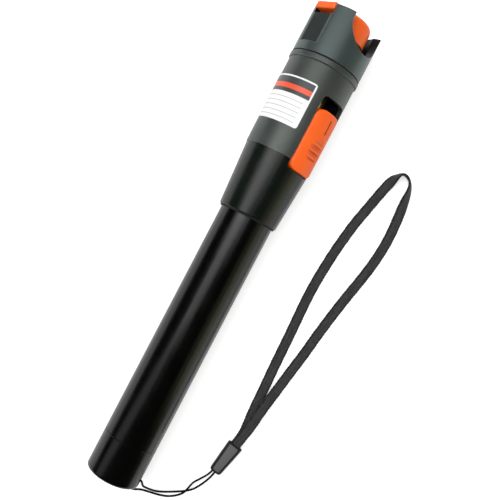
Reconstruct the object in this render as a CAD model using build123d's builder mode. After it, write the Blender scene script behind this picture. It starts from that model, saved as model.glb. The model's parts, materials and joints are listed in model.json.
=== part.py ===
from build123d import *

import os
from math import asin, atan2, cos, hypot, radians, sin, sqrt, tan

os.makedirs("parts", exist_ok=True)

# A pen-shaped visual fault locator for optical fibre, lying on its side with its hand strap beside it.
# The pen points along +X and rests on the edge of its tail cap and on the foot of its head housing.
# Stations run along the pen's axis from its tail plane. Azimuths run round it, from up towards -Y.
# Lengths are in millimetres and angles in degrees.

# Cells, which set the tube's bore and length
cell_d = 14.5
cell_length = 50.5
cell_nub_d = 5.4
cell_nub_length = 1.2
cell_play = 0.35

# Small edges and clearances
tail_edge_r = 1.2
collar_edge_r = 0.4
rim_edge_r = 0.35
ring_edge = 0.3
seam_bevel = 0.15
thread_gap = 0.05
sliding_gap = 0.15
seat_gap = 0.05
pin_gap = 0.05
press_gap = 0.02

# Tail cap, its plug and its rubber ring
tail_cap_length = 14.6
plug_length = 8.6
plug_mouth_depth = 9.2
cap_floor_s = 6.0
cap_ring_groove_depth = 0.75
cap_ring_groove_length = 1.1
cap_ring_groove_s = 1.0

# Tail spring, as high as it is with the cap screwed on
spring_seat_thickness = 0.5
spring_height = 9.65
spring_wire_d = 0.9
spring_d = 10.4
spring_turns = 4.0

# Battery tube
tube_wall = 2.2
tube_socket_wall = 0.9
tube_neck_step = 0.8
tube_neck_length = 15.8

# Front contact
contact_head_d = 7.0
contact_head_thickness = 0.8
contact_stem_d = 2.9
contact_stem_length = 3.2
insulator_thickness = 2.5
board_foot_width = 8.0
board_foot_length = 3.5
board_foot_thickness = 3.2

# Collar, with the seal in front of its mouth
collar_lip = 1.1
collar_ledge_width = 1.0
collar_ledge_thickness = 0.8
collar_seal_lip = 0.65
collar_seal_length = 0.5
ledge_to_slot = 1.1

# Head housing on the collar's spigot
head_step = 2.9
band_length = 3.3
band_step = 0.1
housing_wall = 1.5
housing_foot_wall = 1.0
spigot_wall = 0.9
spigot_length = 4.6
slot_to_crown = 1.95

# Ring and seal between the housing and the crown
ring_step = 0.45
ring_length = 2.1
seal_step = 0.1
seal_length = 0.4

# Crown at the front: the dust lid's well, the finger notch and the hinge side
crown_step = 0.3
crown_length = 17.9
crown_wall = 2.4
crown_well_depth = 12.5
crown_web_thickness = 5.0
crown_spigot_length = 8.7
crown_spigot_wall = 2.45
notch_azimuth = 47.0
notch_r = 8.9
notch_centre_below_rim = 1.5
hinge_azimuth = -50.0
flat_depth = 0.86
flat_length = 14.8
hinge_slot_width = 9.6
hinge_slot_depth = 3.8

# Dust lid on its hinge pin
lid_stands_proud = 1.1
lid_side_gap = 1.9
lid_wall = 1.6
lid_top_thickness = 2.0
lid_skirt_below_rim = 7.1
lid_top_edge_r = 2.3
lid_pad_d = 7.0
lid_pad_gap = 0.3
ear_height = 2.5
ear_corner_r = 0.7
ear_edge = 0.35
ear_stands_proud = 0.71
pin_d = 1.0
pin_hold = 1.4
pin_below_rim = 0.95

# Ferrule port: barrel, nut and split ceramic sleeve
port_below_rim = 8.0
port_d = 8.0
port_flange_width = 1.5
port_flange_thickness = 0.8
port_stub_step = 0.8
port_stub_length = 3.0
port_below_nut = 2.3
ferrule_d = 2.5
sleeve_wall = 0.35
sleeve_length = 12.1
sleeve_slit = 0.4
sleeve_slit_azimuth = 228.0
port_lip_thickness = 0.6
port_lip_play = 0.15
light_path_play = 0.25
nut_rim = 2.0
nut_thickness = 3.2

# Laser module behind the port
holder_wall = 2.8
holder_length = 12.0
holder_to_board = 0.4
diode_flange_d = 5.6
diode_flange_thickness = 1.2
diode_can_d = 4.6
diode_can_length = 2.3
diode_pin_d = 0.45
diode_pin_length = 4.0
diode_pin_circle_d = 2.54
diode_seat_depth = 3.7
lens_d = 4.0
lens_edge_thickness = 1.3
lens_dome = 0.7
lens_seat_depth = 2.8
holder_bore_d = 3.0

# Slider in its slot, and what it carries inside
slider_azimuth = 48.0
slot_width = 12.3
slot_corner_r = 1.75
slot_tail_overlap = 3.25
slider_length = 22.9
slider_travel = 4.4
slider_corner_r = 3.0
slider_stands_proud = 1.3
slider_edge_proud = 0.3
slider_edge_r = 0.8
carrier_overhang = 0.65
carrier_longer = 0.4
carrier_play = 0.3
carrier_thickness = 1.0
carrier_corner_r = 1.5
thumb_recess_length = 10.0
thumb_recess_depth = 0.7
thumb_recess_from_tail = 9.0
thumb_ridge_width = 0.9
thumb_ridge_pitch = 2.3
thumb_ridges = 3
index_groove_width = 0.8
index_groove_length = 5.5
index_groove_depth = 0.45
index_groove_from_head = 4.8
carrier_screw_d = 1.5
carrier_screw_head_d = 3.0
carrier_screw_head_length = 0.8
carrier_screw_reach = 2.0
carrier_screw_inset = 3.65

# Circuit board, its chip and the slide switch
board_thickness = 1.0
board_width = 13.0
screw_to_switch = 0.7
chip_width = 3.9
chip_length = 4.9
chip_thickness = 1.5
chip_from_board_end = 10.4
switch_width = 6.0
switch_length = 9.4
switch_height = 2.9
switch_slot_depth = 2.0
lever_size = 1.5
lever_from_slider_tail = 6.85
lever_gap = 0.1

# Blank write-on label round the housing
label_from_azimuth = -110.0
label_to_azimuth = 4.0
label_from_band = 5.9
label_length = 16.4
label_thickness = 0.12
label_lift = 0.02
label_corner_r = 0.9

# Lanyard hole in the tail cap
lanyard_azimuth = 82.0
lanyard_side_hole_d = 2.0
lanyard_side_hole_s = 3.4
lanyard_end_hole_d = 2.2
lanyard_end_hole_in = 3.5

# Hand strap: thin cord, clasp and webbing
cord_d = 0.75
cord_off_edge = 1.8
clasp_length = 12.0
clasp_nose_width = 3.5
clasp_mouth_width = 5.8
clasp_height = 3.4
clasp_nose_r = 1.2
clasp_edge_r = 0.5
clasp_turn = -11.0
clasp_centre = (-68.8, -33.25)
webbing_width = 3.6
webbing_thickness = 1.0
webbing_ends_apart = 0.5
webbing_mouth_run = 3.4

# Diameters, from the cells outwards and then to the head
tube_bore_d = cell_d + 2 * cell_play
tube_d = tube_bore_d + 2 * tube_wall
plug_d = tube_d - 2 * (tube_socket_wall + thread_gap)
cap_ring_groove_d = plug_d - 2 * cap_ring_groove_depth
tube_neck_d = tube_d - 2 * tube_neck_step
collar_tail_d = tube_d + 2 * collar_lip
collar_seal_d = tube_d + 2 * collar_seal_lip
housing_d = tube_d + 2 * head_step
housing_bore_d = housing_d - 2 * housing_wall
collar_head_d = housing_d - 2 * band_step
spigot_d = housing_d - 2 * housing_foot_wall
spigot_bore_d = spigot_d - 2 * spigot_wall
ring_d = housing_d + 2 * ring_step
seal_d = housing_d - 2 * seal_step
crown_d = housing_d + 2 * crown_step
crown_bore_d = crown_d - 2 * crown_wall
lid_d = crown_bore_d - 2 * lid_side_gap

# Stations, from the tail to the front
spring_foot_s = cap_floor_s + spring_seat_thickness
cells_start_s = spring_foot_s + spring_height
cells_end_s = cells_start_s + 2 * cell_length
contact_head_s = cells_end_s + seat_gap
tube_top_s = contact_head_s + contact_head_thickness
insulator_end_s = tube_top_s + insulator_thickness
collar_s = tube_top_s - tube_neck_length
ledge_s = insulator_end_s + seat_gap
ledge_end_s = ledge_s + collar_ledge_thickness
slot_tail_s = ledge_end_s + ledge_to_slot
housing_s = slot_tail_s + slot_tail_overlap
band_end_s = housing_s + band_length
slider_s = slot_tail_s + 2 * sliding_gap
slot_head_s = slider_s + slider_length + slider_travel
spigot_foot_s = slot_head_s + slot_to_crown
front_seal_s = spigot_foot_s + crown_spigot_length
ring_s = front_seal_s - ring_length
crown_s = front_seal_s + seal_length
rim_s = crown_s + crown_length
lid_top_s = rim_s + lid_stands_proud


def rest_tilt(station, radius):
    """Angle that the axis lifts when the pen lies on its rounded tail edge and on this corner."""
    along = station - tail_edge_r
    across_axis = radius - tube_d / 2 + tail_edge_r
    return atan2(across_axis, along) - asin(tail_edge_r / hypot(along, across_axis))


resting_corners = [
    (collar_s + collar_edge_r, collar_tail_d / 2),
    (band_end_s, housing_d / 2),
    (ring_s + ring_edge, ring_d / 2),
    (crown_s, crown_d / 2),
]
tilt = max(rest_tilt(station, radius) for station, radius in resting_corners)
tail_centre_height = (tube_d / 2 - tail_edge_r) * cos(tilt) + tail_edge_r - tail_edge_r * sin(tilt)

PEN = Plane(
    origin=(-lid_top_s / 2, 0, tail_centre_height),
    x_dir=(-sin(tilt), 0, cos(tilt)),
    z_dir=(cos(tilt), 0, sin(tilt)),
)
PEN_AXIS = Axis(PEN.origin, PEN.z_dir)


def outwards(azimuth):
    """Unit vector straight out from the pen's axis at an azimuth."""
    return PEN.x_dir * cos(radians(azimuth)) + PEN.y_dir * sin(radians(azimuth))


def facing(azimuth, station, out=0.0):
    """Plane that looks at the pen's side: z outwards, y towards the front, x with the azimuth."""
    centre = PEN.origin + PEN.z_dir * station + outwards(azimuth) * out
    return Plane(origin=centre, x_dir=outwards(azimuth + 90), z_dir=outwards(azimuth))


def lengthwise(azimuth=0.0):
    """Plane that holds the axis: x is the radius at this azimuth and y is the station."""
    return Plane(origin=PEN.origin, x_dir=outwards(azimuth), z_dir=outwards(azimuth - 90))


def outline(*points, azimuth=0.0):
    """Flat shape with straight sides through (radius, station) points."""
    with BuildSketch(lengthwise(azimuth)) as shape:
        with BuildLine():
            Polyline(*points, close=True)
        make_face()
    return shape.sketch


def disc(station, diameter):
    """Circle across the pen's axis at a station."""
    with BuildSketch(PEN.offset(station)) as shape:
        Circle(diameter / 2)
    return shape.sketch


# Tail cap: a cup with a threaded plug, a seal groove and a bridged hole for the strap's cord
plug_end_s = tail_cap_length + plug_length
lanyard_end_hole_out = tube_d / 2 - lanyard_end_hole_in
groove_start_s = tail_cap_length + cap_ring_groove_s
groove_end_s = groove_start_s + cap_ring_groove_length
with BuildPart() as tail_cap:
    revolve(
        outline(
            (0, 0),
            (tube_d / 2, 0),
            (tube_d / 2, tail_cap_length - seam_bevel),
            (tube_d / 2 - seam_bevel, tail_cap_length),
            (plug_d / 2, tail_cap_length),
            (plug_d / 2, groove_start_s),
            (cap_ring_groove_d / 2, groove_start_s),
            (cap_ring_groove_d / 2, groove_end_s),
            (plug_d / 2, groove_end_s),
            (plug_d / 2, plug_end_s),
            (tube_bore_d / 2, plug_end_s),
            (tube_bore_d / 2, cap_floor_s),
            (0, cap_floor_s),
        ),
        axis=PEN_AXIS,
    )
    fillet(tail_cap.edges().filter_by(GeomType.CIRCLE).sort_by(PEN_AXIS)[0], tail_edge_r)
    with BuildSketch(facing(lanyard_azimuth, lanyard_side_hole_s, lanyard_end_hole_out)):
        Circle(lanyard_side_hole_d / 2)
    extrude(amount=tube_d / 2, mode=Mode.SUBTRACT)
    with BuildSketch(PEN):
        with PolarLocations(lanyard_end_hole_out, 1, start_angle=lanyard_azimuth):
            Circle(lanyard_end_hole_d / 2)
    extrude(amount=lanyard_side_hole_s + lanyard_end_hole_d / 2, mode=Mode.SUBTRACT)
tail_cap.part.label = "tail_cap"
export_step(tail_cap.part, "parts/tail_cap.step")

# Rubber ring in the plug's groove
cap_ring_space = plug_d / 2 + thread_gap - cap_ring_groove_d / 2
cap_ring_r = (cap_ring_groove_d + cap_ring_space) / 2
cap_ring_s = (groove_start_s + groove_end_s) / 2
with BuildPart() as tail_o_ring:
    with BuildSketch(lengthwise()):
        with Locations((cap_ring_r, cap_ring_s)):
            Circle(cap_ring_space / 2 - seat_gap)
    revolve(axis=PEN_AXIS)
tail_o_ring.part.label = "tail_o_ring"
export_step(tail_o_ring.part, "parts/tail_o_ring.step")

# Contact disc on the cap's floor, and the spring that stands on it
with BuildPart() as spring_seat:
    extrude(disc(cap_floor_s, cell_d), amount=spring_seat_thickness)
spring_seat.part.label = "spring_seat"
export_step(spring_seat.part, "parts/spring_seat.step")

coil_height = spring_height - spring_wire_d - 2 * seat_gap
with BuildPart() as contact_spring:
    with BuildLine() as coil:
        Helix(
            pitch=coil_height / spring_turns,
            height=coil_height,
            radius=(spring_d - spring_wire_d) / 2,
            center=PEN.origin + PEN.z_dir * (spring_foot_s + spring_wire_d / 2 + seat_gap),
            direction=PEN.z_dir,
        )
    with BuildSketch(Plane(origin=coil.line @ 0, z_dir=coil.line % 0)):
        Circle(spring_wire_d / 2)
    sweep(is_frenet=True)
contact_spring.part.label = "contact_spring"
export_step(contact_spring.part, "parts/contact_spring.step")

# Battery tube: open at the tail for the plug, with a threaded neck inside the collar
with BuildPart() as battery_tube:
    revolve(
        outline(
            (tube_d / 2 - seam_bevel, tail_cap_length),
            (tube_d / 2, tail_cap_length + seam_bevel),
            (tube_d / 2, collar_s),
            (tube_neck_d / 2, collar_s),
            (tube_neck_d / 2, tube_top_s),
            (tube_bore_d / 2, tube_top_s),
            (tube_bore_d / 2, tail_cap_length + plug_mouth_depth),
            (plug_d / 2 + thread_gap, tail_cap_length + plug_mouth_depth),
            (plug_d / 2 + thread_gap, tail_cap_length),
        ),
        axis=PEN_AXIS,
    )
battery_tube.part.label = "battery_tube"
export_step(battery_tube.part, "parts/battery_tube.step")

# Two cells in a row, nubs towards the front
for cell_name, cell_s in (("cell_rear", cells_start_s), ("cell_front", cells_start_s + cell_length)):
    with BuildPart() as cell:
        extrude(disc(cell_s, cell_d), amount=cell_length - cell_nub_length)
        chamfer(cell.edges().filter_by(GeomType.CIRCLE), seam_bevel)
        extrude(disc(cell_s, cell_nub_d), amount=cell_length)
    cell.part.label = cell_name
    export_step(cell.part, f"parts/{cell_name}.step")

# Distances from the axis for the slider, its carrier plate, the switch and the board
slider_top_out = housing_d / 2 + slider_stands_proud
slider_edge_out = housing_d / 2 + slider_edge_proud
carrier_width = slot_width + 2 * carrier_overhang
slider_base_out = sqrt((spigot_bore_d / 2 - carrier_play) ** 2 - carrier_width**2 / 4)
carrier_out = slider_base_out - carrier_thickness
switch_top_out = carrier_out - carrier_screw_head_length - screw_to_switch
switch_out = switch_top_out - switch_height
board_out = switch_out - board_thickness

# Brass front contact through a plastic disc, which also carries the board's foot
with BuildPart() as positive_contact:
    extrude(disc(contact_head_s, contact_head_d), amount=contact_head_thickness)
    extrude(disc(tube_top_s, contact_stem_d), amount=contact_stem_length)
positive_contact.part.label = "positive_contact"
export_step(positive_contact.part, "parts/positive_contact.step")

with BuildPart() as contact_insulator:
    extrude(disc(tube_top_s, tube_neck_d), amount=insulator_thickness)
    with BuildSketch(facing(slider_azimuth, insulator_end_s + board_foot_length / 2, board_out)):
        Rectangle(board_foot_width, board_foot_length)
    extrude(amount=-board_foot_thickness)
    extrude(
        disc(tube_top_s, contact_stem_d + 2 * thread_gap),
        amount=insulator_thickness + board_foot_length,
        mode=Mode.SUBTRACT,
    )
contact_insulator.part.label = "contact_insulator"
export_step(contact_insulator.part, "parts/contact_insulator.step")

# Slot for the slider, as a tool that cuts the collar and the housing alike
slot_length = slot_head_s - slot_tail_s
with BuildPart() as slider_slot:
    with BuildSketch(facing(slider_azimuth, slot_tail_s + slot_length / 2, carrier_out)):
        RectangleRounded(slot_width, slot_length, slot_corner_r)
    extrude(amount=housing_d)

# Collar between the tube and the head, threaded on the neck, with a ledge and a spigot inside
collar_ledge_d = tube_neck_d - 2 * collar_ledge_width
with BuildPart() as collar:
    revolve(
        outline(
            (tube_neck_d / 2 + thread_gap, collar_s),
            (collar_tail_d / 2, collar_s),
            (collar_head_d / 2 - seam_bevel, housing_s),
            (spigot_d / 2, housing_s),
            (spigot_d / 2, housing_s + spigot_length),
            (spigot_bore_d / 2, housing_s + spigot_length),
            (spigot_bore_d / 2, ledge_end_s),
            (collar_ledge_d / 2, ledge_end_s),
            (collar_ledge_d / 2, ledge_s),
            (tube_neck_d / 2 + thread_gap, ledge_s),
        ),
        axis=PEN_AXIS,
    )
    collar_mouth = collar.edges().filter_by(GeomType.CIRCLE).group_by(PEN_AXIS)[0]
    fillet(collar_mouth.sort_by(SortBy.RADIUS)[-1], collar_edge_r)
    add(slider_slot.part, mode=Mode.SUBTRACT)
collar.part.label = "collar"
export_step(collar.part, "parts/collar.step")

# Rubber ring round the tube, against the collar's mouth
with BuildPart() as collar_seal:
    extrude(disc(collar_s - collar_seal_length, collar_seal_d), amount=collar_seal_length)
    extrude(
        disc(collar_s - collar_seal_length, tube_d + 2 * press_gap),
        amount=collar_seal_length,
        mode=Mode.SUBTRACT,
    )
collar_seal.part.label = "collar_seal"
export_step(collar_seal.part, "parts/collar_seal.step")

# Head housing: a tube with a bevelled band at its foot and the slider's slot
with BuildPart() as head_housing:
    revolve(
        outline(
            (spigot_d / 2 + thread_gap, housing_s),
            (collar_head_d / 2, housing_s),
            (housing_d / 2, band_end_s),
            (housing_d / 2, ring_s - seam_bevel),
            (housing_d / 2 - seam_bevel, ring_s),
            (housing_bore_d / 2, ring_s),
            (housing_bore_d / 2, housing_s + spigot_length + seat_gap),
            (spigot_d / 2 + thread_gap, housing_s + spigot_length + seat_gap),
        ),
        axis=PEN_AXIS,
    )
    add(slider_slot.part, mode=Mode.SUBTRACT)
head_housing.part.label = "head_housing"
export_step(head_housing.part, "parts/head_housing.step")

# Ring and black seal between the housing and the crown
crown_spigot_d = housing_bore_d - 2 * thread_gap
with BuildPart() as front_ring:
    revolve(
        outline(
            (housing_bore_d / 2, ring_s),
            (ring_d / 2 - ring_edge, ring_s),
            (ring_d / 2, ring_s + ring_edge),
            (ring_d / 2, front_seal_s - ring_edge),
            (ring_d / 2 - ring_edge, front_seal_s),
            (housing_bore_d / 2, front_seal_s),
        ),
        axis=PEN_AXIS,
    )
front_ring.part.label = "front_ring"
export_step(front_ring.part, "parts/front_ring.step")

with BuildPart() as front_seal:
    extrude(disc(front_seal_s, seal_d), amount=seal_length)
    extrude(disc(front_seal_s, housing_bore_d), amount=seal_length, mode=Mode.SUBTRACT)
front_seal.part.label = "front_seal"
export_step(front_seal.part, "parts/front_seal.step")

# Hinge pin across the rim: x points out of the pen, y towards the front, z along the pin
pin_s = rim_s - pin_below_rim
pin_out = crown_bore_d / 2
pin_length = hinge_slot_width + 2 * pin_hold
hinge_centre = facing(hinge_azimuth, pin_s, pin_out).origin
HINGE = Plane(origin=hinge_centre, x_dir=outwards(hinge_azimuth), z_dir=outwards(hinge_azimuth - 90))
with BuildPart() as hinge_pin:
    with BuildSketch(HINGE):
        Circle(pin_d / 2)
    extrude(amount=pin_length / 2, both=True)
hinge_pin.part.label = "hinge_pin"
export_step(hinge_pin.part, "parts/hinge_pin.step")

# Crown: a cup with a web for the port, a spigot, a finger notch, a milled flat and the hinge slot
well_floor_s = rim_s - crown_well_depth
web_s = well_floor_s - crown_web_thickness
crown_spigot_bore_d = crown_spigot_d - 2 * crown_spigot_wall
flat_out = crown_d / 2 - flat_depth
with BuildPart() as crown:
    revolve(
        outline(
            (crown_d / 2 - seam_bevel, crown_s),
            (crown_d / 2, crown_s + seam_bevel),
            (crown_d / 2, rim_s),
            (crown_bore_d / 2, rim_s),
            (crown_bore_d / 2, well_floor_s),
            (port_d / 2 + thread_gap, well_floor_s),
            (port_d / 2 + thread_gap, web_s),
            (crown_spigot_bore_d / 2, web_s),
            (crown_spigot_bore_d / 2, spigot_foot_s),
            (crown_spigot_d / 2, spigot_foot_s),
            (crown_spigot_d / 2, crown_s),
        ),
        axis=PEN_AXIS,
    )
    fillet(crown.edges().filter_by(GeomType.CIRCLE).group_by(PEN_AXIS)[-1], rim_edge_r)
    with BuildSketch(facing(notch_azimuth, rim_s - notch_centre_below_rim, crown_bore_d / 4)):
        Circle(notch_r)
        Rectangle(2 * notch_r, 2 * notch_r, align=(Align.CENTER, Align.MIN))
    extrude(amount=crown_d, mode=Mode.SUBTRACT)
    with BuildSketch(facing(hinge_azimuth, rim_s - flat_length, flat_out)):
        Rectangle(crown_d, crown_d, align=(Align.CENTER, Align.MIN))
    extrude(amount=crown_d, mode=Mode.SUBTRACT)
    with BuildSketch(facing(hinge_azimuth, rim_s - hinge_slot_depth, lid_d / 2)):
        Rectangle(hinge_slot_width, crown_d, align=(Align.CENTER, Align.MIN))
    extrude(amount=crown_d, mode=Mode.SUBTRACT)
    with BuildSketch(HINGE):
        Circle(pin_d / 2 + press_gap)
    extrude(amount=pin_length / 2 + press_gap, both=True, mode=Mode.SUBTRACT)
crown.part.label = "crown"
export_step(crown.part, "parts/crown.step")

# Dust lid: a domed cup with a sealing pad inside and an ear that turns on the pin
port_top_s = rim_s - port_below_rim
lid_skirt_s = rim_s - lid_skirt_below_rim
lid_ceiling_s = lid_top_s - lid_top_thickness
lid_pad_s = port_top_s + lid_pad_gap
ear_width = hinge_slot_width - 2 * sliding_gap
ear_in = lid_d / 2 - lid_wall
ear_out = flat_out + ear_stands_proud
with BuildPart() as lid_ear:
    with BuildSketch(HINGE):
        with Locations(((ear_out + ear_in) / 2 - pin_out, 0)):
            RectangleRounded(ear_out - ear_in, ear_height, ear_corner_r)
    extrude(amount=ear_width / 2, both=True)
    chamfer(lid_ear.faces().filter_by(Axis(hinge_centre, HINGE.z_dir)).edges(), ear_edge)

with BuildPart() as dust_lid:
    extrude(disc(lid_skirt_s, lid_d), amount=lid_top_s - lid_skirt_s)
    fillet(dust_lid.edges().filter_by(GeomType.CIRCLE).sort_by(PEN_AXIS)[-1], lid_top_edge_r)
    add(lid_ear.part)
    with BuildSketch(PEN.offset(lid_skirt_s)):
        Circle(lid_d / 2 - lid_wall)
        Circle(lid_pad_d / 2, mode=Mode.SUBTRACT)
    extrude(amount=lid_ceiling_s - lid_skirt_s, mode=Mode.SUBTRACT)
    extrude(disc(port_top_s, lid_pad_d), amount=lid_pad_s - port_top_s, mode=Mode.SUBTRACT)
    extrude(disc(lid_pad_s, lid_pad_d), amount=lid_ceiling_s - lid_pad_s)
    with BuildSketch(HINGE):
        Circle(pin_d / 2 + pin_gap)
    extrude(amount=crown_d / 2, both=True, mode=Mode.SUBTRACT)
dust_lid.part.label = "dust_lid"
export_step(dust_lid.part, "parts/dust_lid.step")

# Port barrel through the crown's web, with the ceramic sleeve rolled in behind its lip
port_foot_s = web_s - nut_thickness - port_below_nut - port_stub_length
port_stub_d = port_d - 2 * port_stub_step
port_flange_d = port_d + 2 * port_flange_width
port_lip_d = ferrule_d + 2 * port_lip_play
light_path_d = ferrule_d + 2 * light_path_play
sleeve_d = ferrule_d + 2 * sleeve_wall
sleeve_end_s = port_top_s - port_lip_thickness - seat_gap
sleeve_s = sleeve_end_s - sleeve_length
with BuildPart() as port_barrel:
    revolve(
        outline(
            (light_path_d / 2, port_foot_s),
            (port_stub_d / 2, port_foot_s),
            (port_stub_d / 2, port_foot_s + port_stub_length),
            (port_d / 2, port_foot_s + port_stub_length),
            (port_d / 2, well_floor_s),
            (port_flange_d / 2, well_floor_s),
            (port_flange_d / 2, well_floor_s + port_flange_thickness),
            (port_d / 2, well_floor_s + port_flange_thickness),
            (port_d / 2, port_top_s - ring_edge),
            (port_d / 2 - ring_edge, port_top_s),
            (port_lip_d / 2, port_top_s),
            (port_lip_d / 2, port_top_s - port_lip_thickness),
            (sleeve_d / 2 + thread_gap, port_top_s - port_lip_thickness),
            (sleeve_d / 2 + thread_gap, sleeve_s - seat_gap),
            (light_path_d / 2, sleeve_s - seat_gap),
        ),
        axis=PEN_AXIS,
    )
port_barrel.part.label = "port_barrel"
export_step(port_barrel.part, "parts/port_barrel.step")

with BuildPart() as ceramic_sleeve:
    extrude(disc(sleeve_s, sleeve_d), amount=sleeve_length)
    extrude(disc(sleeve_s, ferrule_d), amount=sleeve_length, mode=Mode.SUBTRACT)
    with BuildSketch(facing(sleeve_slit_azimuth, sleeve_s)):
        Rectangle(sleeve_slit, sleeve_length, align=(Align.CENTER, Align.MIN))
    extrude(amount=sleeve_d, mode=Mode.SUBTRACT)
ceramic_sleeve.part.label = "ceramic_sleeve"
export_step(ceramic_sleeve.part, "parts/ceramic_sleeve.step")

nut_across_flats = port_d + 2 * nut_rim
with BuildPart() as port_nut:
    with BuildSketch(PEN.offset(web_s - nut_thickness)):
        RegularPolygon(nut_across_flats / 2, 6, major_radius=False)
        Circle(port_d / 2 + thread_gap, mode=Mode.SUBTRACT)
    extrude(amount=nut_thickness)
port_nut.part.label = "port_nut"
export_step(port_nut.part, "parts/port_nut.step")

# Laser module: brass holder screwed on the barrel's stub, with the diode and the lens inside
holder_end_s = port_foot_s + port_stub_length
holder_s = holder_end_s - holder_length
holder_d = port_stub_d + 2 * holder_wall
diode_seat_end_s = holder_s + diode_seat_depth
lens_seat_s = port_foot_s - lens_seat_depth
with BuildPart() as laser_holder:
    revolve(
        outline(
            (diode_flange_d / 2 + thread_gap, holder_s),
            (holder_d / 2, holder_s),
            (holder_d / 2, holder_end_s),
            (port_stub_d / 2 + thread_gap, holder_end_s),
            (port_stub_d / 2 + thread_gap, port_foot_s - seat_gap),
            (lens_d / 2 + thread_gap, port_foot_s - seat_gap),
            (lens_d / 2 + thread_gap, lens_seat_s),
            (holder_bore_d / 2, lens_seat_s),
            (holder_bore_d / 2, diode_seat_end_s),
            (diode_flange_d / 2 + thread_gap, diode_seat_end_s),
        ),
        axis=PEN_AXIS,
    )
laser_holder.part.label = "laser_holder"
export_step(laser_holder.part, "parts/laser_holder.step")

diode_s = holder_s + seat_gap
with BuildPart() as laser_diode:
    extrude(disc(diode_s, diode_flange_d), amount=diode_flange_thickness)
    extrude(disc(diode_s, diode_can_d), amount=diode_flange_thickness + diode_can_length)
    with BuildSketch(PEN.offset(diode_s)):
        with PolarLocations(diode_pin_circle_d / 2, 3, start_angle=slider_azimuth):
            Circle(diode_pin_d / 2)
    extrude(amount=-diode_pin_length)
laser_diode.part.label = "laser_diode"
export_step(laser_diode.part, "parts/laser_diode.step")

lens_thickness = lens_edge_thickness + lens_dome
lens_face_r = (lens_d**2 / 4 + lens_dome**2) / (2 * lens_dome)
with BuildPart() as focusing_lens:
    extrude(disc(lens_seat_s, lens_d), amount=lens_thickness)
    with Locations(PEN.offset(lens_seat_s + lens_thickness - lens_face_r)):
        Sphere(lens_face_r, mode=Mode.INTERSECT)
focusing_lens.part.label = "focusing_lens"
export_step(focusing_lens.part, "parts/focusing_lens.step")

# Circuit board on the contact disc's foot, with a driver chip below and the slide switch above
board_s = insulator_end_s + 2 * seat_gap
board_length = holder_s - holder_to_board - board_s
with BuildPart() as circuit_board:
    with BuildSketch(facing(slider_azimuth, board_s, board_out)):
        Rectangle(board_width, board_length, align=(Align.CENTER, Align.MIN))
    extrude(amount=board_thickness)
circuit_board.part.label = "circuit_board"
export_step(circuit_board.part, "parts/circuit_board.step")

chip_s = board_s + chip_from_board_end
with BuildPart() as driver_chip:
    with BuildSketch(facing(slider_azimuth, chip_s, board_out)):
        Rectangle(chip_width, chip_length)
    extrude(amount=-chip_thickness)
    chamfer(driver_chip.faces().sort_by(Axis(PEN.origin, outwards(slider_azimuth)))[0].edges(), seam_bevel)
driver_chip.part.label = "driver_chip"
export_step(driver_chip.part, "parts/driver_chip.step")

lever_s = slider_s + lever_from_slider_tail
switch_s = lever_s + slider_travel / 2
lever_slot_length = lever_size + slider_travel + 2 * lever_gap
with BuildPart() as slide_switch:
    with BuildSketch(facing(slider_azimuth, switch_s, switch_out)):
        Rectangle(switch_width, switch_length)
    extrude(amount=switch_height)
    with BuildSketch(facing(slider_azimuth, switch_s, switch_top_out - switch_slot_depth)):
        Rectangle(lever_size + 2 * lever_gap, lever_slot_length)
    extrude(amount=switch_height, mode=Mode.SUBTRACT)
slide_switch.part.label = "slide_switch"
export_step(slide_switch.part, "parts/slide_switch.step")

# The switch's lever, which the slider's carrier plate pushes
lever_foot_out = switch_top_out - switch_slot_depth + lever_gap
with BuildPart() as switch_lever:
    with BuildSketch(facing(slider_azimuth, lever_s, lever_foot_out)):
        Rectangle(lever_size, lever_size)
    extrude(amount=slider_base_out - lever_gap - lever_foot_out)
switch_lever.part.label = "switch_lever"
export_step(switch_lever.part, "parts/switch_lever.step")

# Carrier plate under the slot, screwed to the slider from below
slider_centre_s = slider_s + slider_length / 2
carrier_length = slider_length + carrier_longer
carrier_screw_spacing = carrier_length - 2 * carrier_screw_inset
with BuildPart() as slider_carrier:
    with BuildSketch(facing(slider_azimuth, slider_centre_s, carrier_out)):
        RectangleRounded(carrier_width, carrier_length, carrier_corner_r)
        with GridLocations(0, carrier_screw_spacing, 1, 2):
            Circle(carrier_screw_d / 2 + thread_gap, mode=Mode.SUBTRACT)
        with Locations((0, lever_s - slider_centre_s)):
            Rectangle(lever_size + 2 * lever_gap, lever_size + 2 * lever_gap, mode=Mode.SUBTRACT)
    extrude(amount=carrier_thickness)
slider_carrier.part.label = "slider_carrier"
export_step(slider_carrier.part, "parts/slider_carrier.step")

with BuildPart() as carrier_screws:
    with BuildSketch(facing(slider_azimuth, slider_centre_s, carrier_out)):
        with GridLocations(0, carrier_screw_spacing, 1, 2):
            Circle(carrier_screw_head_d / 2)
    extrude(amount=-carrier_screw_head_length)
    with BuildSketch(facing(slider_azimuth, slider_centre_s, carrier_out)):
        with GridLocations(0, carrier_screw_spacing, 1, 2):
            Circle(carrier_screw_d / 2)
    extrude(amount=carrier_thickness + carrier_screw_reach)
carrier_screws.part.label = "carrier_screws"
export_step(carrier_screws.part, "parts/carrier_screws.step")

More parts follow.
